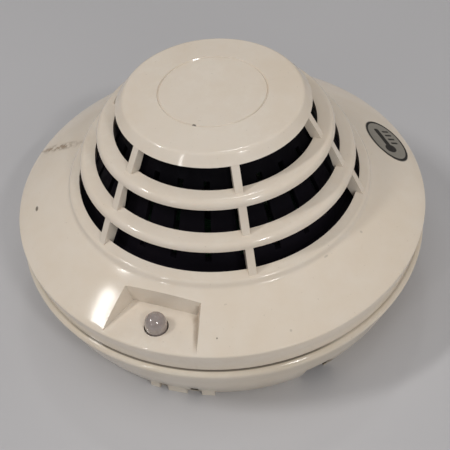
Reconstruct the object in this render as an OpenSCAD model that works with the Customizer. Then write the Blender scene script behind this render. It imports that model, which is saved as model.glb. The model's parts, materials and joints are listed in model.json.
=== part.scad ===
// Point-type heat detector: a louvred head that twists onto a round mounting base.
// The origin is the centre of the base's underside and +Z points up, towards the cap.
// Angles around the part are counted from -Y and grow towards +X.

/* [Cover] */
// Radius of the cover at its rim
rim_r = 51; // [50.8:0.1:51.4]
// Height of the rim's edge
rim_z = 22.75; // [22.5:0.05:23]
// Height of the cover's lower edge, where it meets the base
seam_z = 16.5; // [16.4:0.1:16.8]
// How far the cover's side wall leans in, from the rim to its lower edge
side_lean = 0.9; // [0.4:0.1:1.2]
// Overall height
top_z = 54; // [53.8:0.1:54.6]
// Wall thickness of the cover
wall = 1.9; // [1.7:0.1:2]

/* [Louvres] */
// Radius of the cap's lower edge
cap_r = 22.6; // [22.3:0.1:22.8]
// Height of the cap's lower edge
cap_z = 51.1; // [51:0.1:51.3]
// Radius of the groove round the cap's flat centre
groove_r = 12.5; // [8:0.5:16]
// Inner radius of the upper ring
ring1_in = 23.8; // [23.6:0.1:24]
// Height of the upper ring's top face
ring1_z = 45.7; // [45.5:0.1:45.9]
// Inner radius of the lower ring
ring2_in = 29.3; // [29.1:0.1:29.5]
// Height of the lower ring's top face
ring2_z = 38; // [37.8:0.1:38.2]
// Radial width of the upper ring
ring_w = 4.2; // [4:0.1:4.4]
// Inner radius of the collar under the lowest slot
collar_in = 34.4; // [34.25:0.05:34.55]
// Height of the collar's top face
collar_z = 30.5; // [30.3:0.1:30.6]
// Number of fins that carry the rings
fin_n = 6; // [3:1:8]
// Thickness of a fin
fin_t = 1.8; // [1.2:0.1:2.4]
// Angle of the first fin
fin_az = 8.8; // [0:0.1:59]

/* [Indicator] */
// Angle of the indicator's recess
led_az = -21.7; // [-30:0.5:-15]
// Distance of the lamp from the centre
led_r = 44.8; // [44:0.1:45]
// Radius of the lamp
lamp_r = 2.5; // [2:0.1:2.5]
// Height of the recess floor
recess_z = 23; // [22.9:0.05:23.1]

/* [Base] */
// Radius of the base at its underside
foot_r = 45.8; // [45.5:0.1:46.2]
// Radius of the lip round the base's top edge
lip_r = 51.3; // [51.1:0.1:51.6]
// Height of the base's top edge
base_h = 16.1; // [16:0.05:16.1]
// Thickness of the base's floor
floor_t = 2; // [1.6:0.1:2.4]
// Radius of the cable opening in the floor
cable_r = 13; // [8:0.5:14]
// Distance between the two fixing slots
fixing_w = 60; // [58:1:62]
// Radius of a fixing slot's ends
fixing_r = 2.25; // [2:0.05:2.5]
// Length of a fixing slot from end to end
fixing_l = 9; // [6:0.5:10]

/* [Bayonet] */
// Number of lugs on the head
lug_n = 4; // [3:1:4]
// Turn from locked to released
release = 18; // [15:1:20]
// Width of a lug, as an angle
lug_w = 16; // [10:1:16]

/* [Terminals] */
// Distance of the terminal screws from the centre
screw_at = 21; // [20.5:0.5:21]
// Radius of a terminal screw's thread
thread_r = 1.5; // [1.4:0.05:1.5]

/* [Hidden] */
$fn = 96;

cream = [0.90, 0.86, 0.78];
black = [0.04, 0.04, 0.05];
brass = [0.80, 0.64, 0.32];
steel = [0.72, 0.73, 0.74];
tin = [0.76, 0.76, 0.74];

eps = 0.01;          // overlap that joins two solids of one piece
gap = 0.3;           // air between pieces that don't touch
hole_gap = 0.08;     // radial clearance of a screw in its hole

// Cover
ring_t = 1.85;       // thickness of a ring
ring2_w = ring_w - 0.3; // radial width of the lower ring
ring2_rise = 0.25;   // how far its inner edge stands over its outer shoulder
collar_rise = 0.55;  // the same for the collar
ring_round = 1.5;    // radius of a ring's outer shoulder
collar_end = 36.05;  // where the collar's flat top ends
shoulder_r = 1.05;   // radius of the collar's outer shoulder
fillet_r = 1.2;      // radius of the fillet between collar and flange
fillet_at = [38.3, 29.9];
fillet_end = 249;    // angle at which the fillet runs out into the flange
flange_ctrl = [45.9, 25.7]; // where the lines of the flange's two ends cross
rim_round = 0.5;     // radius of the rim's edge
rim_drop = 0.3;      // from the rim's highest point to the middle of its round
side_in = rim_r - side_lean - wall;
under_flange = [[side_in + 0.7, rim_z - wall], [rim_r - 6, rim_z + 1.1], [38.1, 26.7],
                [36.3, collar_z - wall], [collar_in, collar_z - wall]];
cap_drop = 0.55;     // fall of the cap's top from its centre to its shoulder
cap_crown = 0.15;    // its fall at the groove
cap_round = 1.2;     // radius of the cap's shoulder
cap_slope = 50;      // slope of the cap's skirt
cap_lip = 2.3;       // thickness of the cap's lower edge
cap_under = top_z - 1.9;
groove_w = 0.5;
groove_d = 0.3;

// Stack inside the head, from the chassis up
plate_z = 12.5;
plate_t = 1.7;
board_z = 15.4;
board_t = 1.6;
board_r = 46.7;
board_top = board_z + board_t;
chassis_r = 47.9;
chassis_top = board_top - 0.1;
boss_at = 43;        // distance of the cover's screw bosses from the centre
boss_r = 3;
boss_h = 11;
boss_az = [45, 165, 285];
post_screw_r = 1.1;
wire_r = 0.25;       // radius of the thermistor's and the lamp's wires
wire_hole = 0.3;     // radius of their holes
lamp_pitch = 1.27;   // each lamp wire's distance from the lamp's middle
tail = 0.8;          // how far wires and blades reach past the board

// Recess for the indicator lamp, in a frame that points outwards along its middle
recess_back = 39.4;  // distance of its back wall from the centre
recess_half = 7.6;   // half its floor's width at the back
recess_flare = 18.8; // angle of a side wall to the middle
recess_draft = 15;   // lean of a side wall
recess_wall = 1.8;
recess_span = 31;    // angle that its walls fill under the flange
recess_top = 28;     // height to which its back wall is filled
lamp_z = recess_z + 1.3;
lamp_flange = 0.4;   // how far the lamp's flange stands out
led_flange_z = board_top + 1;

// Cage under the louvres
cage_foot = [32, 28.4];
cage_head = [20.4, 49.6];
cage_t = 1.4;
cage_slots = 24;
cage_slot_w = 1.4;
cage_leg_r = 1.8;

// Base and bayonet
wall_b = 1.8;        // thickness of the base's wall
sunk = 0.2;          // how deep ribs and pedestals are sunk in the floor
ring_in = 37.6;      // wall that the lugs turn inside
ring_out = 39.6;
ring_top = 10.5;
track_in = 35.6;     // inner edge of the ramps over the lugs
track_z = 8.6;
skirt_r = 35.2;
skirt_t = 2;
lug_r = 37.2;
lug_z = 6.2;
lug_h = 2;
gate = lug_w + 3;    // opening between two ramps

// Terminals
term_az = [45, 135, 225, 315];
seat_z = 4.4;        // top of a terminal's pedestal
strip_t = 0.8;       // thickness of the brass strip
clamp_z = seat_z + strip_t + 0.05;
clamp_t = 1.2;
head_z = clamp_z + clamp_t + 0.05;
head_r = 3;
head_h = 2.2;
cross_w = 0.8;       // width of a screw head's cross slot
tongue_z = 8;        // top of the spring tongue
blade_at = 27.5;     // distance of a contact blade's leg from the centre
blade_w = 6;
blade_z = tongue_z + gap;

// ---- Helpers ----

// Points on an arc about c, from angle a to angle b
function arc(c, r, a, b, n = 6) = [for (i = [0:n]) let (t = a + (b - a) * i / n) c + r * [cos(t), sin(t)]];

// Points on a curve from a to b that leaves a and reaches b along the lines to c
function bend(a, c, b, n = 8) = [for (i = [0:n]) let (t = i / n)
    (1 - t) * (1 - t) * a + 2 * t * (1 - t) * c + t * t * b];

// Turns a piece that lies along +X to an angle around the part
module at_az(az) { rotate([0, 0, az - 90]) children(); }

// Part of a ring between two radii, from z up by h, w degrees wide about +X
module sector(r_in, r_out, z, h, w) {
    rotate([0, 0, -w / 2]) rotate_extrude(angle = w) translate([r_in, z]) square([r_out - r_in, h]);
}

module tube(r_in, r_out, z, h) {
    rotate_extrude() translate([r_in, z]) square([r_out - r_in, h]);
}

// A box with its middle on the X axis
module bar(x, w, y, z, h) { translate([x, -y / 2, z]) cube([w, y, h]); }

// ---- Cover ----

flange_start = fillet_at + fillet_r * [cos(fillet_end), sin(fillet_end)];
rim_edge = [rim_r - 0.2, rim_z + 0.1];
flange = bend(flange_start, flange_ctrl, rim_edge);

// Outer surface from the lowest slot to the cover's lower edge
function skin() = concat(
    [[collar_in, collar_z + collar_rise]],
    arc([collar_end, collar_z - shoulder_r], shoulder_r, 90, 20),
    arc(fillet_at, fillet_r, 200, fillet_end, 4),
    flange,
    arc([rim_r - rim_round, rim_z - rim_drop], rim_round, 50, 0, 4));

module flange_shell() {
    rotate_extrude() polygon(concat(
        skin(),
        [[rim_r - side_lean, seam_z], [side_in, seam_z]],
        under_flange));
}

module louvre_ring(r_in, w, z, rise) {
    r_out = r_in + w;
    rotate_extrude() polygon(concat(
        [[r_in, z - ring_t], [r_in, z + rise]],
        arc([r_out - ring_round, z - ring_round], ring_round, 90, 0),
        [[r_out, z - ring_t]]));
}

module cap() {
    shoulder = [cap_r - 2.5, top_z - cap_drop - cap_round];
    rotate_extrude() polygon(concat(
        [[0, cap_under], [0, top_z], [groove_r - groove_w / 2, top_z - cap_crown],
         [groove_r, top_z - cap_crown - groove_d], [groove_r + groove_w / 2, top_z - cap_crown]],
        arc(shoulder, cap_round, 90, 90 - cap_slope),
        [[cap_r, cap_z], [cap_r - cap_lip, cap_z], [cap_r - cap_lip - 0.9, cap_under]]));
}

// One upright plate that joins cap, rings and collar
module fin() {
    ring1_out = ring1_in + ring_w - 0.05;
    ring2_out = ring2_in + ring2_w - 0.05;
    rotate([90, 0, 0]) translate([0, 0, -fin_t / 2]) linear_extrude(fin_t) polygon([
        [cap_r - 0.2, cap_z + 0.2],
        [ring1_in + 1.9, ring1_z - 0.2], [ring1_out, ring1_z - ring_t + 0.1],
        [ring2_in + 1.8, ring2_z - 0.2], [ring2_out, ring2_z - ring_t + 0.1],
        [collar_in + 1.75, collar_z - 0.2], [collar_in + 1.75, collar_z - wall + 0.1],
        [collar_in - 0.3, collar_z - wall + 0.1], [ring2_in - 0.7, ring2_z],
        [ring2_in - 2, ring2_z + 4], [ring1_in - 0.7, ring1_z],
        [cage_head[0] + 0.7, cage_head[1]], [cage_head[0] + 0.2, cap_z + 0.2]]);
}

// The space that the recess takes out of the flange, pointing along +X
module recess_space() {
    intersection() {
        translate([recess_back, -20, recess_z]) cube([20, 40, 10]);
        recess_side(-1);
        recess_side(1);
    }
}

module recess_side(side) {
    translate([recess_back, side * recess_half, recess_z])
        rotate([0, 0, side * recess_flare]) rotate([-side * recess_draft, 0, 0])
            translate([-60, side > 0 ? -60 : 0, -20]) cube([120, 60, 60]);
}

// Floor and walls of the recess, filled up to the flange
module recess_fill() {
    back = recess_back - recess_wall;
    rotate([0, 0, -recess_span / 2]) rotate_extrude(angle = recess_span) polygon(concat(
        [[back, recess_z - recess_wall], [back, recess_top]],
        [for (p = flange) if (p[0] > back + 1) p - [0, 0.3]],
        [[rim_r - 0.4, recess_z - recess_wall]]));
}

module outer_cover() {
    color(cream) difference() {
        union() {
            flange_shell();
            louvre_ring(ring1_in, ring_w, ring1_z, 0);
            louvre_ring(ring2_in, ring2_w, ring2_z, ring2_rise);
            cap();
            for (i = [0:fin_n - 1]) at_az(fin_az + i * 360 / fin_n) fin();
            at_az(led_az) recess_fill();
            for (a = boss_az) at_az(a)
                translate([boss_at, 0, plate_z + plate_t]) cylinder(r = boss_r, h = boss_h);
        }
        at_az(led_az) recess_space();
        at_az(led_az) translate([led_r, 0, recess_z - 3]) cylinder(r = lamp_r + 0.25, h = 5);
        for (a = boss_az) at_az(a)
            translate([boss_at, 0, plate_z]) cylinder(r = post_screw_r + 0.05, h = boss_h - 2);
    }
}

// Oval sticker that follows the flange
module approval_label() {
    size = [16, 8.6];
    thick = 0.12;
    place = [43.8, 9];
    lean = -70;
    top_side = [for (i = [len(flange) - 1:-1:0]) flange[i] + [0, thick]];
    oval = [for (t = [0:7.5:352.5]) [size[0] / 2 * cos(t), size[1] / 2 * sin(t)]];
    color([0.62, 0.62, 0.60]) intersection() {
        rotate_extrude() polygon(concat(flange, top_side));
        translate([place[0], place[1], rim_z]) rotate([0, 0, lean]) linear_extrude(8) polygon(oval);
    }
}

// ---- Sensor ----

module sensor_cage() {
    foot_in = cage_foot[0] - cage_t;
    head_in = cage_head[0] - cage_t;
    cone = [cage_foot, cage_head, [head_in, cage_head[1]], [foot_in, cage_foot[1]]];
    color(black) difference() {
        union() {
            rotate_extrude() polygon(cone);
            tube(head_in - 2, cage_head[0], cage_head[1] - 1.2, 1.2);
            tube(foot_in - 1, collar_in + 1.05, cage_foot[1] - 1.6, 1.6);
            for (i = [0:3]) at_az(i * 90) translate([collar_in - 1.95, 0, board_top])
                cylinder(r = cage_leg_r, h = cage_foot[1] - board_top - 1);
        }
        for (i = [0:cage_slots - 1]) rotate([0, 0, (i + 0.5) * 360 / cage_slots])
            bar(10, 30, cage_slot_w, cage_foot[1] + 2, cage_head[1] - cage_foot[1] - 5);
    }
}

bead_z = 47;
bead_r = 1.5;
bead_neck = 2.6;     // from the bead's middle down to the end of its neck
holder_top = 37;
lead_y = 1.1;        // each lead's distance from the middle
lead_rise = 3;       // straight stretch of a lead above the holder
lead_lean = 5.2;     // lean of a lead towards the bead above that

module thermistor_bead() {
    color([0.10, 0.09, 0.08]) translate([0, 0, bead_z]) {
        sphere(r = bead_r);
        translate([0, 0, -bead_neck]) cylinder(r1 = 1.1, r2 = 1.3, h = bead_neck - 0.2);
    }
}

// Two wires from the board up through the holder to the bead
module thermistor_leads() {
    bend_z = holder_top + lead_rise - 0.9;
    color(tin) for (s = [-1, 1]) translate([0, s * lead_y, 0]) {
        translate([0, 0, board_z - tail]) cylinder(r = wire_r, h = holder_top + lead_rise - board_z);
        translate([0, 0, bend_z]) rotate([s * lead_lean, 0, 0])
            cylinder(r = wire_r, h = bead_z - bead_neck - bend_z - 0.06);
    }
}

module thermistor_holder() {
    color(black) difference() {
        union() {
            translate([0, 0, board_top]) cylinder(r = 6.5, h = 1.6);
            translate([0, 0, board_top]) cylinder(r1 = 4, r2 = 2.6, h = holder_top - board_top);
        }
        for (s = [-1, 1]) translate([0, s * lead_y, board_top - 1]) cylinder(r = wire_hole, h = 30);
    }
}

// ---- Electronics ----

module circuit_board() {
    color([0.08, 0.32, 0.16]) difference() {
        translate([0, 0, board_z]) cylinder(r = board_r, h = board_t);
        for (a = boss_az) at_az(a) translate([boss_at, 0, board_z - 1]) cylinder(r = boss_r + 1.2, h = 4);
        for (s = [-1, 1]) {
            translate([0, s * lead_y, board_z - 1]) cylinder(r = wire_hole, h = 4);
            at_az(led_az) translate([led_r, s * lamp_pitch, board_z - 1]) cylinder(r = wire_hole, h = 4);
        }
        for (a = term_az) at_az(a) bar(blade_at - gap, 1.4, 3, board_z - 1, 4);
    }
}

// A surface-mounted body with rows of feet along two sides
module chip(size, feet, pitch) {
    translate([-size[0] / 2, -size[1] / 2, 0.1]) cube(size);
    foot = [0.4, 0.8, 0.6];
    for (s = [-1, 1], i = [0:feet - 1])
        translate([(i - (feet - 1) / 2) * pitch, s * (size[1] / 2 + foot[1] / 2 - eps), foot[2] / 2])
            cube(foot, center = true);
}

module controller_chip() {
    color(black) translate([-16, 14, board_top]) rotate([0, 0, 30]) chip([9.9, 3.9, 1.5], 8, 1.27);
}

module bridge_rectifier() {
    color(black) translate([18, 12, board_top]) rotate([0, 0, -20]) chip([4.7, 3.9, 2.4], 2, 2.54);
}

module electrolytic_capacitor() {
    color([0.12, 0.12, 0.16]) translate([14, -18, board_top]) {
        cylinder(r = 3.15, h = 7);
        translate([-3.3, -3.3, 0]) cube([6.6, 6.6, 1]);
    }
}

// A row of small two-ended bodies
module chip_row(place, turn, n, pitch, size) {
    translate([place[0], place[1], board_top]) rotate([0, 0, turn])
        for (i = [0:n - 1]) translate([i * pitch, 0, 0]) cube(size);
}

module chip_resistors() {
    size = [1.25, 2, 0.5];
    color([0.08, 0.08, 0.09]) {
        chip_row([-24, -6], 80, 6, 2.4, size);
        chip_row([4, -26], 0, 4, -3, size);
    }
}

module chip_capacitors() {
    size = [1.25, 2, 0.9];
    color([0.62, 0.52, 0.38]) {
        chip_row([-12, 24], 15, 5, 2.6, size);
        chip_row([24, -6], 90, 4, 2.6, size);
    }
}

// ---- Indicator ----

module led_indicator() {
    color([0.72, 0.68, 0.70, 0.9]) at_az(led_az) translate([led_r, 0, 0]) {
        translate([0, 0, led_flange_z]) cylinder(r = lamp_r + lamp_flange, h = 1);
        translate([0, 0, led_flange_z]) cylinder(r = lamp_r, h = lamp_z - led_flange_z);
        translate([0, 0, lamp_z]) sphere(r = lamp_r);
    }
}

module led_leads() {
    color(tin) at_az(led_az) for (s = [-1, 1])
        translate([led_r, s * lamp_pitch, board_z - tail])
            cylinder(r = wire_r, h = led_flange_z - board_z + tail);
}

module led_spacer() {
    color(black) at_az(led_az) translate([led_r, 0, board_top]) difference() {
        cylinder(r = lamp_r + lamp_flange, h = led_flange_z - board_top);
        for (s = [-1, 1]) translate([0, s * lamp_pitch, -1]) cylinder(r = wire_hole, h = 4);
    }
}

// ---- Chassis ----

module rear_chassis() {
    color(cream) difference() {
        union() {
            translate([0, 0, plate_z]) cylinder(r = chassis_r, h = plate_t);
            tube(board_r + 0.25, chassis_r, plate_z, chassis_top - plate_z);
            tube(board_r - 1.6, chassis_r, plate_z, board_z - plate_z);
            tube(skirt_r - skirt_t, skirt_r, lug_z - 0.2, plate_z - lug_z + 0.2 + eps);
            for (i = [0:lug_n - 1]) at_az(i * 360 / lug_n)
                sector(skirt_r - 0.5, lug_r, lug_z, lug_h, lug_w);
        }
        for (a = boss_az) at_az(a) {
            translate([boss_at, 0, plate_z - 1]) cylinder(r = post_screw_r + hole_gap, h = 4);
            translate([boss_at, 0, plate_z + plate_t]) cylinder(r = boss_r + gap, h = 6);
        }
        for (a = term_az) at_az(a) bar(blade_at - 0.1, 1, 2.6, plate_z - 1, 4);
    }
}

module chassis_screws() {
    color(steel) for (a = boss_az) at_az(a) translate([boss_at, 0, plate_z]) difference() {
        union() {
            cylinder(r = post_screw_r, h = 7.5);
            translate([0, 0, -1.5]) cylinder(r1 = 1.9, r2 = 2.3, h = 1.5);
        }
        for (t = [0, 90]) rotate([0, 0, t]) bar(-1.2, 2.4, 0.6, -2, 1.3);
    }
}

// Blade on the head that meets a terminal's tongue when the head is locked
module contact_blade(i) {
    color(brass) at_az(term_az[i]) {
        bar(blade_at, 4.7, blade_w, blade_z, strip_t);
        bar(blade_at, strip_t, blade_w, blade_z, plate_z - blade_z);
        bar(blade_at, strip_t, 2.4, blade_z, board_top + tail - blade_z);
    }
}

module contact_blade_1() { contact_blade(0); }
module contact_blade_2() { contact_blade(1); }
module contact_blade_3() { contact_blade(2); }
module contact_blade_4() { contact_blade(3); }

// ---- Base ----

flank = [49.6, 9.5];     // where the base's lower curve ends

function wall_outside() = concat(
    bend([foot_r, 0], [foot_r + 2.7, 5.6], flank, 6),
    [[lip_r - 0.3, base_h - 2.2], [lip_r, base_h - 1.2], [lip_r, base_h - 0.8],
     [lip_r - 0.14, base_h - 0.48], [lip_r - 0.66, base_h - 0.1], [lip_r - 0.9, base_h]]);

module dish() {
    rotate_extrude() polygon(concat(
        [[cable_r, 0]], wall_outside(),
        [[lip_r - wall_b, base_h], [flank[0] - wall_b - 0.2, flank[1]],
         [foot_r - wall_b, floor_t], [cable_r, floor_t]]));
}

// Ring wall with ramps over the lugs, gates between them and a stop at each end of the lugs' travel
module bayonet() {
    foot_z = floor_t - sunk;
    stop_w = 2;
    stop_turn = lug_w / 2 + 2.1;
    difference() {
        rotate_extrude() polygon([[ring_in, foot_z], [ring_out, foot_z], [ring_out, ring_top],
                                  [track_in, ring_top], [track_in, track_z], [ring_in, track_z]]);
        for (i = [0:lug_n - 1]) at_az(release + i * 360 / lug_n)
            sector(track_in - 1, ring_in - 0.15, track_z - 1, ring_top, gate);
    }
    for (i = [0:lug_n - 1], turn = [-stop_turn, release + stop_turn]) at_az(turn + i * 360 / lug_n)
        bar(track_in + gap, 2.5, stop_w, foot_z, track_z - foot_z + sunk);
}

module pedestals() {
    for (a = term_az) at_az(a) bar(16.6, 10.4, 10, floor_t - sunk, seat_z - floor_t + sunk);
}

module stiffening_ribs() {
    for (i = [0:11]) at_az(15 + i * 30) bar(ring_out - 0.5, 6.3, 1.2, floor_t - sunk, 5.2);
}

// Three pads along the lower edge, each with its angle and width
module edge_pads() {
    for (p = [[-24.4, 2.4], [-17.5, 4.6], [-8.4, 3.1]]) at_az(p[0]) bar(foot_r - 1.2, 2.1, p[1], 0, 3.1);
}

// Drain slots beside the pads, each with its angle, width and upper edge, and a cutout for a tool
module edge_cuts() {
    slot_low = 0.6;
    slot_depth = 2.6;
    for (p = [[-28.4, 1.3, 2.4], [-21.6, 1.9, 3.4], [-12.2, 2, 4.4], [28.3, 1.4, 5.6]]) at_az(p[0])
        bar(foot_r - slot_depth, 6, p[1], slot_low, p[2] - slot_low);
    at_az(23.4) bar(foot_r - 3, 8, 6.6, -1, 8);
}

module mounting_base() {
    color(cream) difference() {
        union() {
            dish();
            bayonet();
            pedestals();
            stiffening_ribs();
            for (turn = [0, 180]) rotate([0, 0, turn]) edge_pads();
        }
        for (turn = [0, 180]) rotate([0, 0, turn]) edge_cuts();
        for (s = [-1, 1]) translate([s * fixing_w / 2, 0, 0]) fixing_slot();
        for (a = term_az) at_az(a)
            translate([screw_at, 0, 0.8]) cylinder(r = thread_r + hole_gap, h = seat_z);
    }
}

// A slot along X through the floor
module fixing_slot() {
    reach = fixing_l / 2 - fixing_r;
    translate([-reach, -fixing_r, -1]) cube([2 * reach, 2 * fixing_r, floor_t + 2]);
    for (s = [-1, 1]) translate([s * reach, 0, -1]) cylinder(r = fixing_r, h = floor_t + 2);
}

// ---- Terminals ----

// Brass strip with a spring tongue that reaches up to the head's blade
module terminal_contact(i) {
    color(brass) at_az(term_az[i]) difference() {
        union() {
            bar(17, 9.6, 9, seat_z, strip_t);
            rotate([90, 0, 0]) translate([0, 0, -blade_w / 2]) linear_extrude(blade_w) polygon([
                [26, seat_z], [27.6, seat_z], [30.6, tongue_z - 1.1], [32.2, tongue_z - strip_t],
                [32.2, tongue_z], [30.3, tongue_z - 0.3], [27.3, seat_z + strip_t], [26, seat_z + strip_t]]);
        }
        translate([screw_at, 0, seat_z - 1]) cylinder(r = thread_r + hole_gap, h = 3);
    }
}

module terminal_contact_1() { terminal_contact(0); }
module terminal_contact_2() { terminal_contact(1); }
module terminal_contact_3() { terminal_contact(2); }
module terminal_contact_4() { terminal_contact(3); }

// Saddle plate that presses the wire on the strip
module terminal_clamp(i) {
    color(steel) at_az(term_az[i]) difference() {
        union() {
            bar(17.2, 7.6, 8.4, clamp_z, clamp_t);
            for (s = [-1, 1]) translate([17.2, s * 3.8 - 0.4, clamp_z]) cube([7.6, 0.8, clamp_t + 0.9]);
        }
        translate([screw_at, 0, clamp_z - 1]) cylinder(r = thread_r + hole_gap, h = 4);
    }
}

module terminal_clamp_1() { terminal_clamp(0); }
module terminal_clamp_2() { terminal_clamp(1); }
module terminal_clamp_3() { terminal_clamp(2); }
module terminal_clamp_4() { terminal_clamp(3); }

module terminal_screw(i) {
    color(steel) at_az(term_az[i]) translate([screw_at, 0, 0]) difference() {
        union() {
            translate([0, 0, 1.1]) cylinder(r = thread_r, h = head_z);
            translate([0, 0, head_z]) cylinder(r = head_r, h = head_h);
        }
        for (t = [0, 90]) rotate([0, 0, t]) bar(-1.9, 3.8, cross_w, head_z + head_h - 1.1, 2);
    }
}

module terminal_screw_1() { terminal_screw(0); }
module terminal_screw_2() { terminal_screw(1); }
module terminal_screw_3() { terminal_screw(2); }
module terminal_screw_4() { terminal_screw(3); }

outer_cover();
approval_label();
sensor_cage();
thermistor_bead();
thermistor_leads();
thermistor_holder();
circuit_board();
controller_chip();
bridge_rectifier();
electrolytic_capacitor();
chip_resistors();
chip_capacitors();
led_indicator();
led_leads();
led_spacer();
rear_chassis();
chassis_screws();
contact_blade_1();
contact_blade_2();
contact_blade_3();
contact_blade_4();
mounting_base();
terminal_contact_1();
terminal_contact_2();
terminal_contact_3();
terminal_contact_4();
terminal_clamp_1();
terminal_clamp_2();
terminal_clamp_3();
terminal_clamp_4();
terminal_screw_1();
terminal_screw_2();
terminal_screw_3();
terminal_screw_4();
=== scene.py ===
import json
import math

import bmesh
import bpy
from mathutils import Matrix, Vector
from mathutils.bvhtree import BVHTree


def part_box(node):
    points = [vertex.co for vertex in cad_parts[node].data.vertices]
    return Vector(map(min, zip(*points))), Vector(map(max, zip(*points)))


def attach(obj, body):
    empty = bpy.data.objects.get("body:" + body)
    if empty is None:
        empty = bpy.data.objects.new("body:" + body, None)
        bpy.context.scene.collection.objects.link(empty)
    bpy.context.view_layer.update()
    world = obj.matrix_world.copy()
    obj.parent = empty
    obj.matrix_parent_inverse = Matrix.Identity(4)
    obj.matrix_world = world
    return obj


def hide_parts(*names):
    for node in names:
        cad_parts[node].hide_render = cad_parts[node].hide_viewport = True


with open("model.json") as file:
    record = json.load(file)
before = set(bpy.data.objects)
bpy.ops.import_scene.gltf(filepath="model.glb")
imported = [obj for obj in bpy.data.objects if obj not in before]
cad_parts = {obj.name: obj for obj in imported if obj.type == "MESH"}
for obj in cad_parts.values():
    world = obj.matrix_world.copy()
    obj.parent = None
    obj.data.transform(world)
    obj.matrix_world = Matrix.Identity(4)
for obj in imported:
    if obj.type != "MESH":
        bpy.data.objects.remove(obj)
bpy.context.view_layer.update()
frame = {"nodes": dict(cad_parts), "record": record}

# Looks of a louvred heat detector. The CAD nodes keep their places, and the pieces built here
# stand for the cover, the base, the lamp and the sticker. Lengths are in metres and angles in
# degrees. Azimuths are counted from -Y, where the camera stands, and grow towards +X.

MM = 0.001
nodes = frame["nodes"]


# ---- Places worked out from the frame ----

cover_low, cover_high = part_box("outer_cover")
_, base_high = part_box("mounting_base")
lamp_low, lamp_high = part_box("led_indicator")

TOP_Z = cover_high.z
SEAM_Z = cover_low.z
BASE_TOP_Z = base_high.z
RECESS_Z = cover_low.z + 6.5 * MM
LAMP_R = 2.5 * MM
LAMP_AT = Vector(((lamp_low.x + lamp_high.x) / 2, (lamp_low.y + lamp_high.y) / 2, 0))


def direction(azimuth, elevation=0.0):
    """Unit vector towards an azimuth and an elevation."""
    a, e = math.radians(azimuth), math.radians(elevation)
    return Vector((math.sin(a) * math.cos(e), -math.cos(a) * math.cos(e), math.sin(e)))


# ---- Camera ----

def make_camera():
    """The camera looks down at 45 degrees from the front, turned a little off the middle."""
    elevation, distance, aim_z = 44.93, 0.2091, 22.75 * MM
    pan, tilt, roll = 0.0017, -0.0461, math.radians(-4.69)
    back = direction(0, elevation)
    forward, right = -back, Vector((1, 0, 0))
    up = right.cross(forward)
    forward, right = turned(forward, right, pan)
    forward, up = turned(forward, up, tilt)
    right, up = turned(right, up, roll)
    data = bpy.data.cameras.new("camera")
    data.lens = 65.8
    data.sensor_width = 36.0
    data.clip_start = 0.01
    camera = bpy.data.objects.new("camera", data)
    camera.matrix_world = placed(Vector((0, 0, aim_z)) + back * distance, right, up, -forward)
    bpy.context.collection.objects.link(camera)
    bpy.context.scene.camera = camera


def turned(a, b, angle):
    """The pair of axes a and b, turned by an angle in radians from a towards b."""
    c, s = math.cos(angle), math.sin(angle)
    return a * c + b * s, b * c - a * s


def placed(place, x_axis, y_axis, z_axis):
    """The matrix of an object at a place, with its axes along the ones given."""
    return Matrix.Translation(place) @ Matrix((x_axis, y_axis, z_axis)).transposed().to_4x4()


# ---- Lights and floor ----

WARM, COOL = (1.0, 0.985, 0.965), (0.95, 0.98, 1.0)


def make_light(name, azimuth, elevation, distance, size, power, lean=0, shines=True, colour=WARM):
    """A rectangular lamp that faces the detector, its width leaning from the level by an angle."""
    data = bpy.data.lights.new(name, "AREA")
    data.shape = "RECTANGLE"
    data.size, data.size_y = size
    data.energy = power
    data.color = colour
    light = bpy.data.objects.new(name, data)
    towards = direction(azimuth, elevation)
    level = Vector((0, 0, 1)).cross(towards).normalized()
    side, up = turned(level, towards.cross(level), math.radians(lean))
    light.matrix_world = placed(towards * distance, side, up, towards)
    light.visible_glossy = shines
    bpy.context.collection.objects.link(light)


def make_studio():
    """Small lamps make the glints, and wide fills that don't shine make the plain light.

    The streak on the flange's left is its own lamp, so that the key's power can stand apart.
    """
    make_light("key_light", -85.3, 50.8, 0.98, (0.25, 0.07), 1.45, lean=-41, shines=False)
    make_light("streak_lamp", -85.3, 50.8, 0.93, (0.23, 0.06), 0.95, lean=-41)
    make_light("back_lamp", 174, 58.5, 1.0, (0.10, 0.04), 0.4)
    make_light("side_lamp", 31, 44, 1.0, (0.12, 0.045), 1.4)
    make_light("window_strip", -42, 29, 1.2, (0.025, 0.42), 0.65)
    make_light("front_fill", 5, 14, 1.2, (0.9, 0.5), 2.15, shines=False, colour=COOL)
    make_light("right_fill", 82, 14, 1.2, (0.7, 0.5), 2.6, shines=False)
    make_light("overhead_fill", 0, 86, 1.2, (1.0, 1.0), 4.55, shines=False)
    world = bpy.data.worlds.new("surround")
    world.use_nodes = True
    background = world.node_tree.nodes["Background"]
    background.inputs["Color"].default_value = (0.98, 0.98, 1.0, 1)
    background.inputs["Strength"].default_value = 0.1
    bpy.context.scene.world = world
    bpy.context.scene.view_settings.view_transform = "Standard"


def make_floor():
    """A plain square that the detector stands on."""
    size = 4.0
    bm = bmesh.new()
    bmesh.ops.create_grid(bm, x_segments=1, y_segments=1, size=size / 2)
    floor = new_object("floor", bm)
    floor.data.materials.append(floor_material())


# ---- Mesh helpers ----

def new_object(name, bm):
    """An object of that name, made from a bmesh and linked into the scene."""
    mesh = bpy.data.meshes.new(name)
    bm.to_mesh(mesh)
    bm.free()
    piece = bpy.data.objects.new(name, mesh)
    bpy.context.collection.objects.link(piece)
    return piece


def shade(bm, angle=30):
    """Smooth shading that keeps the edges sharper than the angle."""
    for face in bm.faces:
        face.smooth = True
    for edge in bm.edges:
        if len(edge.link_faces) == 2:
            edge.smooth = edge.calc_face_angle(0) < math.radians(angle)


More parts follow.
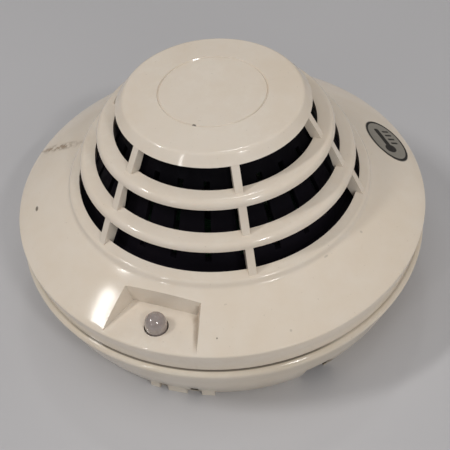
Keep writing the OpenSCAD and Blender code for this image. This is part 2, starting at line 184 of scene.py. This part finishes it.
def round_edges(bm, edges, width, segments):
    """Rounds edges, and marks the faces of the rounding 1."""
    rounding = bmesh.ops.bevel(bm, geom=edges, offset=width, offset_type="OFFSET", segments=segments,
                               profile=0.5, affect="EDGES", clamp_overlap=True)
    for face in rounding["faces"]:
        face.material_index = 1


def rounded_copy(node, name, width, crease=38, fillets=()):
    """A copy of a CAD node's surface whose hard edges are rounded like a moulding's.

    Edges sharper than the crease angle get the width. fillets holds (test, width) pairs for edges
    that get another one first.
    """
    weld, flat = 0.002 * MM, math.radians(0.4)
    bm = bmesh.new()
    bm.from_mesh(nodes[node].data)
    bmesh.ops.remove_doubles(bm, verts=bm.verts, dist=weld)
    bmesh.ops.dissolve_limit(bm, angle_limit=flat, verts=bm.verts, edges=bm.edges)
    for face in bm.faces:
        face.material_index = 0
    for wanted, fillet_width in fillets:
        edges = [e for e in bm.edges if e.is_manifold and wanted(e)]
        round_edges(bm, edges, fillet_width, 3)
    hard = [e for e in bm.edges if e.is_manifold and e.calc_face_angle(0) > math.radians(crease)
            and 0 in [f.material_index for f in e.link_faces]]
    round_edges(bm, hard, width, 2)
    bmesh.ops.triangulate(bm, faces=[f for f in bm.faces if len(f.verts) > 4])
    normals = moulding_normals(bm, crease)
    for face in bm.faces:
        face.material_index = 0
        face.smooth = True
    piece = new_object(name, bm)
    piece.data.normals_split_custom_set(normals)
    return piece


def moulding_normals(bm, crease):
    """Corner normals of a rounded copy: its roundings, marked 1, run between the true surfaces."""
    widest, across, tiny = math.radians(crease), math.radians(75), 1e-9
    normals = []
    for face in bm.faces:
        for loop in face.loops:
            around = [(corner.face, corner.calc_angle()) for corner in loop.vert.link_loops]
            true = [(f, w) for f, w in around if f.material_index == 0]
            limit = widest if face.material_index == 0 else across
            chosen = facing(true, face.normal, limit) or facing(around, face.normal, across)
            total = Vector((0, 0, 0))
            for f, w in chosen:
                total += f.normal * w
            normals.append(total.normalized() if total.length > tiny else face.normal.copy())
    return normals


def facing(faces, normal, limit):
    """Those of the (face, weight) pairs whose face lies within an angle of a normal."""
    return [(f, w) for f, w in faces if f.normal.angle(normal, 0) < limit]


def spun(bm, profile, centre, steps=48):
    """Adds a surface of revolution about a vertical axis. Its profile is (radius, z), downwards."""
    rings = []
    for radius, z in profile:
        if radius == 0:
            rings.append([bm.verts.new((centre.x, centre.y, z))])
            continue
        turns = [2 * math.pi * i / steps for i in range(steps)]
        places = [(centre.x + radius * math.cos(t), centre.y + radius * math.sin(t), z) for t in turns]
        rings.append([bm.verts.new(place) for place in places])
    for upper, lower in zip(rings, rings[1:]):
        for i in range(steps):
            j = (i + 1) % steps
            corners = [upper[i % len(upper)], lower[i % len(lower)]]
            corners += [lower[j % len(lower)], upper[j % len(upper)]]
            corners = list(dict.fromkeys(corners))
            if len(corners) > 2:
                bm.faces.new(corners)


# ---- Material helpers ----

class Shader:
    """A new material with short calls that add nodes and link them."""

    def __init__(self, name):
        self.material = bpy.data.materials.new(name)
        self.material.use_nodes = True
        self.tree = self.material.node_tree
        self.bsdf = self.tree.nodes["Principled BSDF"]
        self.place = self.add("ShaderNodeTexCoord").outputs["Object"]

    def add(self, kind, *inputs, **settings):
        """A node of that kind. Inputs are numbers, colours or sockets, in the node's own order."""
        node = self.tree.nodes.new(kind)
        for key, value in settings.items():
            setattr(node, key, value)
        for socket, value in zip([s for s in node.inputs if s.enabled], inputs):
            self.put(socket, value)
        return node

    def put(self, socket, value):
        """Links a socket to an input, or sets the input's value."""
        if isinstance(value, bpy.types.NodeSocket):
            self.tree.links.new(value, socket)
        elif value is not None:
            socket.default_value = value

    def set(self, **values):
        """Sets inputs of the Principled shader, with _ for a space in their names."""
        for key, value in values.items():
            self.put(self.bsdf.inputs[key.replace("_", " ")], value)

    def math(self, operation, a, b=None, c=None):
        """The result of a maths operation on up to three values."""
        return self.add("ShaderNodeMath", a, b, c, operation=operation).outputs[0]

    def times(self, a, b):
        """The product of two values."""
        return self.math("MULTIPLY", a, b)

    def vector(self, operation, a, b=None):
        """A node for an operation on one or two vectors."""
        return self.add("ShaderNodeVectorMath", a, b, operation=operation)

    def noise(self, scale, detail=3.0, rough=0.5, stretch=None):
        """Noise from 0 to 1, its scale in features per metre, times stretch along each axis."""
        place = self.place
        if stretch:
            place = self.vector("MULTIPLY", place, stretch).outputs[0]
        node = self.add("ShaderNodeTexNoise")
        self.put(node.inputs["Vector"], place)
        self.put(node.inputs["Scale"], scale)
        self.put(node.inputs["Detail"], detail)
        self.put(node.inputs["Roughness"], rough)
        return node.outputs["Fac"]

    def step(self, value, low, high, to_low=0.0, to_high=1.0):
        """A value from low to high, eased onto to_low to to_high and held there beyond."""
        node = self.add("ShaderNodeMapRange", interpolation_type="SMOOTHSTEP")
        for socket, number in zip(node.inputs, (value, low, high, to_low, to_high)):
            self.put(socket, number)
        return node.outputs[0]

    def mix(self, factor, a, b):
        """Colour a, turning into colour b as factor goes from 0 to 1."""
        node = self.add("ShaderNodeMix", data_type="RGBA")
        self.put(node.inputs[0], factor)
        self.put(node.inputs[6], a)
        self.put(node.inputs[7], b)
        return node.outputs[2]

    def bump(self, height, depth, normal=None):
        """A bumped normal: height from 0 to 1 stands for a depth in metres."""
        node = self.add("ShaderNodeBump")
        self.put(node.inputs["Strength"], 1.0)
        self.put(node.inputs["Distance"], depth)
        self.put(node.inputs["Height"], height)
        self.put(node.inputs["Normal"], normal)
        return node.outputs[0]

    def crevice(self, reach):
        """1 deep in a corner, 0 on open surface."""
        node = self.add("ShaderNodeAmbientOcclusion", samples=6, only_local=True)
        self.put(node.inputs["Distance"], reach)
        return self.step(node.outputs["AO"], 0.75, 0.25)

    def edges(self):
        """1 along outer edges, 0 on open surface."""
        point = self.add("ShaderNodeNewGeometry").outputs["Pointiness"]
        return self.step(point, 0.52, 0.60)

    def spot(self, centre, lean, length, width, soft=0.35):
        """1 inside an oval about a centre and 0 outside it, leaning by an angle, seen from above."""
        away = self.vector("SUBTRACT", self.place, centre).outputs[0]
        turn = self.add("ShaderNodeVectorRotate", rotation_type="Z_AXIS")
        self.put(turn.inputs["Vector"], away)
        self.put(turn.inputs["Angle"], math.radians(-lean))
        scaled = self.vector("DIVIDE", turn.outputs[0], (length / 2, width / 2, 1)).outputs[0]
        flat = self.vector("MULTIPLY", scaled, (1, 1, 0)).outputs[0]
        distance = self.vector("LENGTH", flat).outputs["Value"]
        return self.step(distance, 1 + soft, 1 - soft)


def srgb(red, green, blue):
    """A linear colour from its screen values of 0 to 255."""
    return tuple(((v / 255 + 0.055) / 1.055) ** 2.4 for v in (red, green, blue)) + (1,)


def height_and_radius(s):
    """Height, and distance from the detector's axis, in metres."""
    height = s.add("ShaderNodeSeparateXYZ", s.place).outputs["Z"]
    flat = s.vector("MULTIPLY", s.place, (1, 1, 0)).outputs[0]
    return height, s.vector("LENGTH", flat).outputs["Value"]


# A brown-black for painted shade in the seam and in the drain slots.
PAINTED_SHADE = srgb(46, 36, 24)


# ---- Materials ----

def floor_material():
    """A matt pale grey in faint clouds."""
    s = Shader("pale_floor")
    cloud = s.noise(6, 2)
    s.set(Base_Color=s.mix(cloud, srgb(186, 185, 187), srgb(193, 192, 194)))
    s.set(Roughness=0.62)
    return s.material


def moulded_abs(name, clean, aged, dirt, corner_dirt_and_shade):
    """Glossy cream ABS and its colour: yellowed in clouds, dirt and painted shade in corners, scuffed
    edges.
    """
    s = Shader(name)
    cloud = s.noise(24, 3, 0.55)
    mottle = s.noise(160, 4, 0.6)
    tone = s.math("MULTIPLY_ADD", mottle, 0.35, s.times(cloud, 0.65))
    colour = s.mix(s.step(tone, 0.32, 0.68), clean, aged)
    # Corners darken towards the dirt colour, as dirt and as painted shade.
    corner = s.times(s.crevice(3 * MM), s.step(s.noise(300, 4, 0.6), 0.25, 0.75, 0.45, 1.0))
    colour = s.mix(s.times(corner, corner_dirt_and_shade), colour, dirt)
    dust = s.step(s.noise(1900, 2, 0.4), 0.735, 0.765, 0.0, 0.25)
    colour = s.mix(dust, colour, dirt)
    worn = s.times(s.edges(), s.step(s.noise(420, 4, 0.7), 0.45, 0.62, 0.0, 0.12))
    colour = s.mix(worn, colour, srgb(238, 232, 220))
    scratch = s.step(s.noise(90, 2, 0.5, (1, 14, 4)), 0.70, 0.74)
    gloss = s.step(s.noise(55, 4, 0.6), 0.3, 0.7, 0.10, 0.125)
    rough = s.math("ADD", gloss, s.math("MULTIPLY_ADD", corner, 0.25, s.times(scratch, 0.12)))
    peel = s.bump(s.noise(500, 2, 0.4), 0.006 * MM)
    grain = s.bump(s.noise(5200, 2, 0.5), 0.0006 * MM, peel)
    s.set(Base_Color=colour, Roughness=rough, Normal=grain)
    s.set(IOR=1.53, Subsurface_Weight=0.08, Subsurface_Scale=0.6 * MM, Subsurface_Radius=(1.0, 0.8, 0.6))
    return s, colour


# Each speck's azimuth, its distance from the axis, its length and width in mm, and its strength.
SPECKS = (
    (-84, 46.0, 1.6, 0.7, 0.8),
    (-21.8, 12.4, 0.9, 0.5, 0.9),
    (-4.1, 47.4, 0.35, 0.35, 0.7),
    (36.1, 37.8, 1.1, 0.4, 0.25),
    (15.1, 48.2, 0.5, 0.5, 0.25),
    (53, 39.3, 0.6, 0.6, 0.25),
    (148, 45.5, 1.3, 0.6, 0.5),
    (-160, 42.0, 0.6, 0.6, 0.6),
)


def add_marks(s, colour):
    """A brown scuff on the flange's far left, and a few specks."""
    scuff_at = direction(-112) * 44.8 * MM
    scuff = s.spot(scuff_at, -20, 12 * MM, 2.6 * MM, 0.7)
    streak = s.step(s.noise(700, 4, 0.65), 0.38, 0.62)
    colour = s.mix(s.times(scuff, s.times(streak, 0.75)), colour, srgb(128, 104, 78))
    for azimuth, radius, length, width, strength in SPECKS:
        mark = s.spot(direction(azimuth) * radius * MM, azimuth, length * MM, width * MM)
        colour = s.mix(s.times(mark, strength), colour, srgb(76, 63, 50))
    s.set(Base_Color=colour)


def recess_grime(s, colour):
    """Brown dirt along the foot of the recess's right wall, darkest in its back corner."""
    wall_at, corner_at = Vector((-7.7, -43.6, 0)) * MM, Vector((-7.5, -40.9, 0)) * MM
    along_wall, flange_z = 83, 26.6 * MM
    wall = s.spot(wall_at, along_wall, 9 * MM, 1.3 * MM, 0.6)
    corner = s.spot(corner_at, along_wall, 2.4 * MM, 1.6 * MM, 0.6)
    height, _ = height_and_radius(s)
    amount = s.math("MAXIMUM", s.times(wall, 0.42), s.times(corner, 0.5))
    amount = s.times(amount, s.step(height, flange_z, flange_z - 0.4 * MM))
    patchy = s.step(s.noise(500, 4, 0.6), 0.3, 0.7, 0.7, 1.0)
    return s.mix(s.times(amount, patchy), colour, srgb(124, 96, 62))


def cover_material():
    """The cover's plastic, with painted shade along its lower edge, in the seam's gap."""
    clean, aged, dirt = srgb(227, 216, 202), srgb(222, 208, 190), srgb(140, 124, 102)
    s, colour = moulded_abs("cover_abs", clean, aged, dirt, 0.2)
    height, _ = height_and_radius(s)
    # Painted shade of the seam's gap along the cover's lower edge, most in front.
    seam = s.step(height, SEAM_Z + 0.14 * MM, SEAM_Z + 0.06 * MM)
    colour = s.mix(s.times(seam, seam_shade_strength(s)), colour, PAINTED_SHADE)
    add_marks(s, recess_grime(s, colour))
    return s.material


# The azimuth and the width in mm of each drain slot in the base's lower edge. They are there
# again on the far side.
DRAIN_SLOTS = ((-28.4, 1.3), (-21.6, 1.9), (-12.2, 2.0), (28.3, 1.4))


def base_material():
    """The base's plastic, with painted shade on its rim, where the cover meets it, and in its drain
    slots.
    """
    clean, aged, dirt = srgb(226, 215, 199), srgb(218, 204, 184), srgb(118, 102, 80)
    s, colour = moulded_abs("base_abs", clean, aged, dirt, 0.45)
    height, radius = height_and_radius(s)
    # Painted shade on the rim just inside the cover's edge, in the seam's gap.
    rim = s.step(height, BASE_TOP_Z - 0.14 * MM, BASE_TOP_Z - 0.04 * MM)
    rim = s.times(rim, s.step(radius, 50.45 * MM, 50.25 * MM))
    amount = s.times(rim, seam_shade_strength(s))
    # Painted shade deep in the pockets of the drain slots.
    pocket_shade = slot_depth(s, height, radius)
    wall_r, margin, reach = 46 * MM, 1.2, 6.4 * MM
    for azimuth, width in DRAIN_SLOTS:
        for turn in (0, 180):
            slot_at = direction(azimuth + turn) * wall_r
            slot = s.spot(slot_at, azimuth, (width + margin) * MM, reach, 0.12)
            amount = s.math("MAXIMUM", amount, s.times(slot, pocket_shade))
    s.set(Base_Color=s.mix(s.times(amount, 0.95), colour, PAINTED_SHADE))
    return s.material


def slot_depth(s, height, radius):
    """1 behind the base's leaning wall and below the top of its drain slots."""
    wall_foot, wall_slope, slot_top = 45.8 * MM, 0.47, 6.2 * MM
    wall = s.math("MULTIPLY_ADD", height, wall_slope, wall_foot)
    behind = s.step(s.math("SUBTRACT", wall, radius), 0.05 * MM, 0.45 * MM)
    return s.times(behind, s.step(height, slot_top, slot_top - 0.3 * MM))


def seam_shade_strength(s):
    """How dark the seam's painted shade is: most in front."""
    front, sides, foremost = direction(-10), 37 * MM, 45 * MM
    forwards = s.vector("DOT_PRODUCT", s.place, front).outputs["Value"]
    return s.step(forwards, sides, foremost, 0.1, 0.7)


def black_plastic():
    """Matt black moulding with a faint grain, paler at its edges; its purple tints, paler low down, are
    a painted reflection.
    """
    s = Shader("black_moulding")
    cloud = s.noise(80, 3)
    # Purple-tinted blacks stand for a painted reflection, paler low down.
    upper = s.mix(cloud, (0.0020, 0.0022, 0.0028, 1), (0.0034, 0.0024, 0.0042, 1))
    lower = s.mix(cloud, (0.0060, 0.0056, 0.0080, 1), (0.0100, 0.0078, 0.0120, 1))
    paler_below_z, darker_above_z = 34 * MM, 44 * MM
    height, _ = height_and_radius(s)
    colour = s.mix(s.step(height, paler_below_z, darker_above_z), lower, upper)
    colour = s.mix(s.times(s.edges(), 0.15), colour, (0.012, 0.012, 0.016, 1))
    s.set(Base_Color=colour, Roughness=s.step(s.noise(600, 3), 0.3, 0.7, 0.55, 0.75))
    s.set(Normal=s.bump(s.noise(4000, 3), 0.01 * MM), Specular_IOR_Level=0.06)
    return s.material


def bead_epoxy():
    """Dark dipped epoxy, glossy and a little lumpy."""
    s = Shader("bead_epoxy")
    s.set(Base_Color=s.mix(s.noise(900, 3), (0.018, 0.014, 0.012, 1), (0.04, 0.03, 0.024, 1)))
    s.set(Roughness=s.step(s.noise(1500, 2), 0.3, 0.7, 0.14, 0.3), Coat_Weight=0.4)
    s.set(Normal=s.bump(s.noise(1300, 1), 0.03 * MM))
    return s.material


def metal(name, bright, dull, stretch, rough):
    """Plain metal, drawn or rolled along one way, tarnished in clouds."""
    s = Shader(name)
    tarnish = s.step(s.noise(260, 5, 0.65), 0.42, 0.68)
    lines = s.noise(1200, 3, 0.6, stretch)
    colour = s.mix(tarnish, bright, dull)
    dark = tuple(v * 0.35 for v in dull[:3]) + (1,)
    colour = s.mix(s.times(s.crevice(1 * MM), 0.6), colour, dark)
    drawn = s.step(lines, 0.3, 0.7, rough, rough + 0.14)
    roughness = s.math("ADD", drawn, s.times(tarnish, 0.14))
    s.set(Base_Color=colour, Roughness=roughness, Metallic=1.0, Normal=s.bump(lines, 0.006 * MM))
    return s.material


def board_material():
    """Green solder mask, with the tracks under it as a paler green."""
    s = Shader("board_mask")
    pitch = 1.27 * MM
    cells = s.add("ShaderNodeTexVoronoi", feature="DISTANCE_TO_EDGE", distance="EUCLIDEAN")
    grid = s.vector("SNAP", s.place, (pitch, pitch, 1.0)).outputs[0]
    s.put(cells.inputs["Vector"], grid)
    s.put(cells.inputs["Scale"], 110)
    tracks = s.step(cells.outputs[0], 0.07, 0.10)
    weave = s.noise(3000, 1, 0.5)
    colour = s.mix(tracks, (0.006, 0.036, 0.016, 1), (0.011, 0.062, 0.026, 1))
    colour = s.mix(s.times(weave, 0.3), colour, (0.02, 0.08, 0.035, 1))
    s.set(Base_Color=colour, Roughness=s.step(weave, 0.3, 0.7, 0.22, 0.34))
    s.set(Normal=s.bump(tracks, 0.03 * MM), Coat_Weight=0.3)
    return s.material


def capacitor_material():
    """A dull metal can with a bright crown and a black foot."""
    low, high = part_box("electrolytic_capacitor")
    s = Shader("capacitor_can")
    height, _ = height_and_radius(s)
    crown_z, foot_z = high.z - 0.05 * MM, low.z + 1.0 * MM
    crown = s.step(height, crown_z - 0.05 * MM, crown_z)
    foot = s.step(height, foot_z + 0.05 * MM, foot_z)
    can = s.mix(s.noise(300, 3), (0.36, 0.36, 0.37, 1), (0.50, 0.50, 0.51, 1))
    colour = s.mix(foot, s.mix(crown, can, (0.72, 0.72, 0.73, 1)), (0.012, 0.012, 0.014, 1))
    s.set(Base_Color=colour, Metallic=s.math("SUBTRACT", 1.0, foot))
    s.set(Roughness=s.step(s.noise(900, 3, 0.6, (1, 1, 5)), 0.3, 0.7, 0.25, 0.4))
    s.set(Normal=s.bump(s.noise(2500, 2), 0.004 * MM))
    return s.material


def ceramic_material():
    """Pale brown ceramic with a fine grain."""
    s = Shader("fired_ceramic")
    s.set(Base_Color=s.mix(s.noise(1400, 4, 0.6), srgb(168, 142, 108), srgb(190, 166, 132)))
    s.set(Roughness=s.step(s.noise(2600, 3), 0.3, 0.7, 0.45, 0.7))
    s.set(Normal=s.bump(s.noise(3500, 3), 0.01 * MM))
    return s.material


def lamp_material():
    """Milky mauve-grey epoxy, a little cloudy, that lets some light through."""
    s = Shader("lamp_epoxy")
    cloud = s.noise(520, 3, 0.6)
    s.set(Base_Color=s.mix(cloud, srgb(150, 140, 135), srgb(164, 153, 149)))
    s.set(Roughness=s.step(s.noise(900, 2), 0.3, 0.7, 0.09, 0.12), IOR=1.5)
    s.set(Coat_Weight=1.0, Coat_Roughness=0.08, Coat_IOR=1.6)
    s.set(Subsurface_Weight=0.5, Subsurface_Scale=0.9 * MM, Subsurface_Radius=(1.0, 0.75, 0.75))
    s.set(Normal=s.bump(s.noise(1500, 1), 0.006 * MM))
    return s.material


def label_film():
    """Satin grey film, a little scuffed."""
    s = Shader("label_film")
    s.set(Base_Color=s.mix(s.noise(420, 4, 0.6), srgb(132, 127, 118), srgb(150, 145, 136)))
    s.set(Roughness=s.step(s.noise(800, 3), 0.3, 0.7, 0.35, 0.55))
    s.set(Normal=s.bump(s.noise(2600, 3), 0.006 * MM))
    return s.material


def label_ink():
    """Worn near-black ink."""
    s = Shader("label_ink")
    s.set(Base_Color=s.mix(s.noise(900, 4, 0.6), srgb(38, 35, 34), srgb(58, 54, 50)))
    s.set(Roughness=s.step(s.noise(1200, 3), 0.3, 0.7, 0.4, 0.55))
    s.set(Normal=s.bump(s.noise(3000, 2), 0.004 * MM))
    return s.material


# ---- Pieces ----

def finish_piece(piece, body, slot_name, *stands_for):
    """Hangs a piece on its body and hides the CAD nodes that it stands for."""
    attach(piece, body)
    if stands_for:
        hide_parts(*stands_for)


def in_recess_corner(edge):
    """True where the floor of the lamp's recess meets its walls, and for their upright corners."""
    least_angle, reach, tolerance = math.radians(25), 17 * MM, 0.02 * MM
    if edge.is_convex or edge.calc_face_angle(0) < least_angle:
        return False
    foot = min(v.co.z for v in edge.verts)
    near = all((v.co.xy - LAMP_AT.xy).length < reach for v in edge.verts)
    return near and abs(foot - RECESS_Z) < tolerance


def make_cover():
    """The cover, with a wider fillet in the recess than on its other edges."""
    fillets = ((in_recess_corner, 0.9 * MM),)
    cover = rounded_copy("outer_cover", "cover_shell", 0.25 * MM, fillets=fillets)
    cover.data.materials.clear()
    cover.data.materials.append(cover_material())
    finish_piece(cover, "head", "cover", "outer_cover")
    return cover


def make_base():
    """The base, with rounded edges."""
    base = rounded_copy("mounting_base", "base_shell", 0.2 * MM)
    base.data.materials.clear()
    base.data.materials.append(base_material())
    finish_piece(base, "base", "base_plastic", "mounting_base")


def lamp_profile():
    """The lamp from the top of its dome down to its flange, as (radius, z)."""
    dome_z = lamp_high.z - LAMP_R
    flange_z, flange_h = lamp_low.z, 1.0 * MM
    flange_r = LAMP_R + 0.4 * MM
    steps, corner = 12, 0.12 * MM
    points = [(0, lamp_high.z)]
    for i in range(1, steps + 1):
        t = math.radians(90 * i / steps)
        points.append((LAMP_R * math.sin(t), dome_z + LAMP_R * math.cos(t)))
    points += [(LAMP_R, flange_z + flange_h + corner), (LAMP_R + corner, flange_z + flange_h),
               (flange_r - corner, flange_z + flange_h), (flange_r, flange_z + flange_h - corner),
               (flange_r, flange_z + corner), (flange_r - corner, flange_z), (0, flange_z)]
    return points


def make_lamp():
    """The lamp's domed lens and its flange, in one piece."""
    bm = bmesh.new()
    spun(bm, lamp_profile(), LAMP_AT)
    bmesh.ops.recalc_face_normals(bm, faces=bm.faces)
    shade(bm, 40)
    lamp = new_object("lamp_lens", bm)
    lamp.data.materials.append(lamp_material())
    finish_piece(lamp, "head", "led_epoxy", "led_indicator")


# ---- Sticker ----

LABEL_SIZE = (16.0 * MM, 8.6 * MM)
LABEL_AT = Vector((43.8 * MM, 9.0 * MM, 0))
LABEL_LEAN = math.radians(-70)


class OnFlange:
    """Puts points of the sticker's own plane on the cover, at a height above its surface."""

    def __init__(self, cover):
        bm = bmesh.new()
        bm.from_mesh(cover.data)
        self.tree = BVHTree.FromBMesh(bm)
        bm.free()

    def point(self, u, v, height):
        """The point (u, v), with u along the sticker's long axis."""
        c, s = math.cos(LABEL_LEAN), math.sin(LABEL_LEAN)
        place = LABEL_AT + Vector((u * c - v * s, u * s + v * c, 0))
        place.z = TOP_Z
        hit, _, _, _ = self.tree.ray_cast(place, Vector((0, 0, -1)))
        return hit + Vector((0, 0, height))


def add_patch(bm, flange, rows, low, high):
    """A thin closed patch over a grid of (u, v) rows, from one height to another above the cover."""
    tops, feet = lay_grid(bm, flange, rows, low, high)
    last_row, last = len(rows) - 1, len(rows[0]) - 1
    add_sheets(bm, tops, feet)
    border = [(0, j) for j in range(last)] + [(i, last) for i in range(last_row)]
    border += [(last_row, j) for j in range(last, 0, -1)] + [(i, 0) for i in range(last_row, 0, -1)]
    add_wall(bm, [tops[i][j] for i, j in border], [feet[i][j] for i, j in border])


def add_band(bm, flange, scale_in, scale_out, rings, low, high):
    """A thin closed oval band between two scales of the sticker's outline, or an oval from 0."""
    steps = 96
    rows = []
    for i in range(steps):
        t = 2 * math.pi * i / steps
        u, v = LABEL_SIZE[0] / 2 * math.cos(t), LABEL_SIZE[1] / 2 * math.sin(t)
        scales = [scale_in + (scale_out - scale_in) * j / rings for j in range(rings + 1)]
        rows.append([(u * k, v * k) for k in scales])
    tops, feet = lay_grid(bm, flange, rows, low, high)
    add_sheets(bm, tops + tops[:1], feet + feet[:1])
    add_wall(bm, [line[-1] for line in tops], [line[-1] for line in feet])
    if scale_in > 0:
        add_wall(bm, [line[0] for line in feet], [line[0] for line in tops])


def lay_grid(bm, flange, rows, low, high):
    """The patch's vertices at its upper and its lower height, row by row."""
    tops = [[bm.verts.new(flange.point(u, v, high)) for u, v in row] for row in rows]
    feet = [[bm.verts.new(flange.point(u, v, low)) for u, v in row] for row in rows]
    return tops, feet


def add_sheets(bm, tops, feet):
    """The upper and the lower face of a patch."""
    for i in range(len(tops) - 1):
        for j in range(len(tops[0]) - 1):
            bm.faces.new((tops[i][j], tops[i][j + 1], tops[i + 1][j + 1], tops[i + 1][j]))
            bm.faces.new((feet[i][j], feet[i + 1][j], feet[i + 1][j + 1], feet[i][j + 1]))


def add_wall(bm, tops, feet):
    """The wall that joins a closed line of upper vertices to the lower ones."""
    for i in range(len(tops)):
        j = (i + 1) % len(tops)
        bm.faces.new((tops[i], feet[i], feet[j], tops[j]))


def bar_rows(start, end, radius):
    """Rows of a round-ended bar from start to end in the sticker's plane."""
    steps = 4
    length = (Vector(end) - Vector(start)).length
    stations = round_end(radius)
    stations += [(length * i / steps, radius) for i in range(1, steps)]
    stations += [(length - along, half) for along, half in reversed(round_end(radius))]
    return rows_along(start, end, stations)


def thermometer_rows(top, bulb, stem_r, bulb_r):
    """Rows of a round-topped stem that ends in a bulb."""
    length = (Vector(bulb) - Vector(top)).length
    neck = length - math.sqrt(bulb_r ** 2 - stem_r ** 2)
    stem_steps, bulb_steps = 14, 16
    stations = round_end(stem_r)
    stations += [(neck * i / stem_steps, stem_r) for i in range(1, stem_steps)]
    opening = -math.degrees(math.acos(stem_r / bulb_r))
    for i in range(bulb_steps + 1):
        t = math.radians(opening + (90 - opening) * i / bulb_steps)
        stations.append((length + bulb_r * math.sin(t), bulb_r * math.cos(t)))
    return rows_along(top, bulb, stations)


def round_end(radius):
    """Stations of a half circle that opens forwards, as (way along, half width)."""
    turns = [math.radians(-90 + 10 * i) for i in range(10)]
    return [(radius * math.sin(t), radius * math.cos(t)) for t in turns]


def rows_along(start, end, stations, across=8):
    """Rows across a line from start towards end, each as wide as its station says."""
    least = 0.02 * MM
    start = Vector(start)
    axis = (Vector(end) - start).normalized()
    side = Vector((-axis.y, axis.x))
    rows = []
    for along, half in stations:
        half = max(half, least)
        line = [start + axis * along + side * half * (2 * j / across - 1) for j in range(across + 1)]
        rows.append([(p.x, p.y) for p in line])
    return rows


def finish_label(bm, name, material, *stands_for):
    """Makes a piece of the sticker from a bmesh."""
    bmesh.ops.remove_doubles(bm, verts=bm.verts, dist=0.003 * MM)
    bmesh.ops.recalc_face_normals(bm, faces=bm.faces)
    shade(bm)
    piece = new_object(name, bm)
    piece.data.materials.append(material)
    finish_piece(piece, "head", "label", *stands_for)


def make_label(cover):
    """An oval sticker with a dark border and a plain thermometer sign beside its scale."""
    flange = OnFlange(cover)
    film_foot, film_top, ink_top = 0.005 * MM, 0.09 * MM, 0.115 * MM
    bm = bmesh.new()
    film_edge, border_in, border_out = 0.998, 0.89, 0.98
    add_band(bm, flange, 0, film_edge, 14, film_foot, film_top)
    finish_label(bm, "label_film", label_film(), "approval_label")
    bm = bmesh.new()
    add_band(bm, flange, border_in, border_out, 2, film_top, ink_top)
    bulb, top = (3.3 * MM, -0.7 * MM), (-4.0 * MM, -0.7 * MM)
    stem_r, bulb_r, mark_r = 0.62 * MM, 1.45 * MM, 0.3 * MM
    add_patch(bm, flange, thermometer_rows(top, bulb, stem_r, bulb_r), film_top, ink_top)
    first, pitch, near, far = -3.4, 1.55, 0.9 * MM, 2.3 * MM
    for mark in range(4):
        u = (first + pitch * mark) * MM
        add_patch(bm, flange, bar_rows((u, near), (u, far), mark_r), film_top, ink_top)
    finish_label(bm, "label_print", label_ink())


# ---- CAD nodes that stay ----

def dress_nodes():
    """Each remaining CAD node gets the finish of its material."""
    rolled, drawn = (1, 9, 1), (1, 1, 0.08)
    tin, dull_tin = (0.62, 0.62, 0.60, 1), (0.42, 0.42, 0.40, 1)
    zinc, dull_zinc = (0.60, 0.61, 0.63, 1), (0.44, 0.45, 0.44, 1)
    brass, dull_brass = (0.76, 0.55, 0.24, 1), (0.48, 0.32, 0.13, 1)
    finishes = {
        "black_plastic": black_plastic(),
        "epoxy": bead_epoxy(),
        "tinned_wire": metal("tinned_wire", tin, dull_tin, drawn, 0.22),
        "board": board_material(),
        "capacitor": capacitor_material(),
        "ceramic": ceramic_material(),
        "zinc_steel": metal("zinc_steel", zinc, dull_zinc, rolled, 0.26),
        "brass": metal("brass", brass, dull_brass, rolled, 0.24),
        "base_plastic": bpy.data.materials["base_abs"],
    }
    replaced = {"outer_cover", "mounting_base", "led_indicator", "approval_label"}
    for part in frame["record"]["subparts"]:
        if part["node"] in replaced:
            continue
        piece = nodes[part["node"]]
        for socket in piece.material_slots:
            socket.material = finishes[part["material_slot"]]


make_camera()
make_studio()
make_floor()
cover_piece = make_cover()
make_base()
make_lamp()
make_label(cover_piece)
dress_nodes()
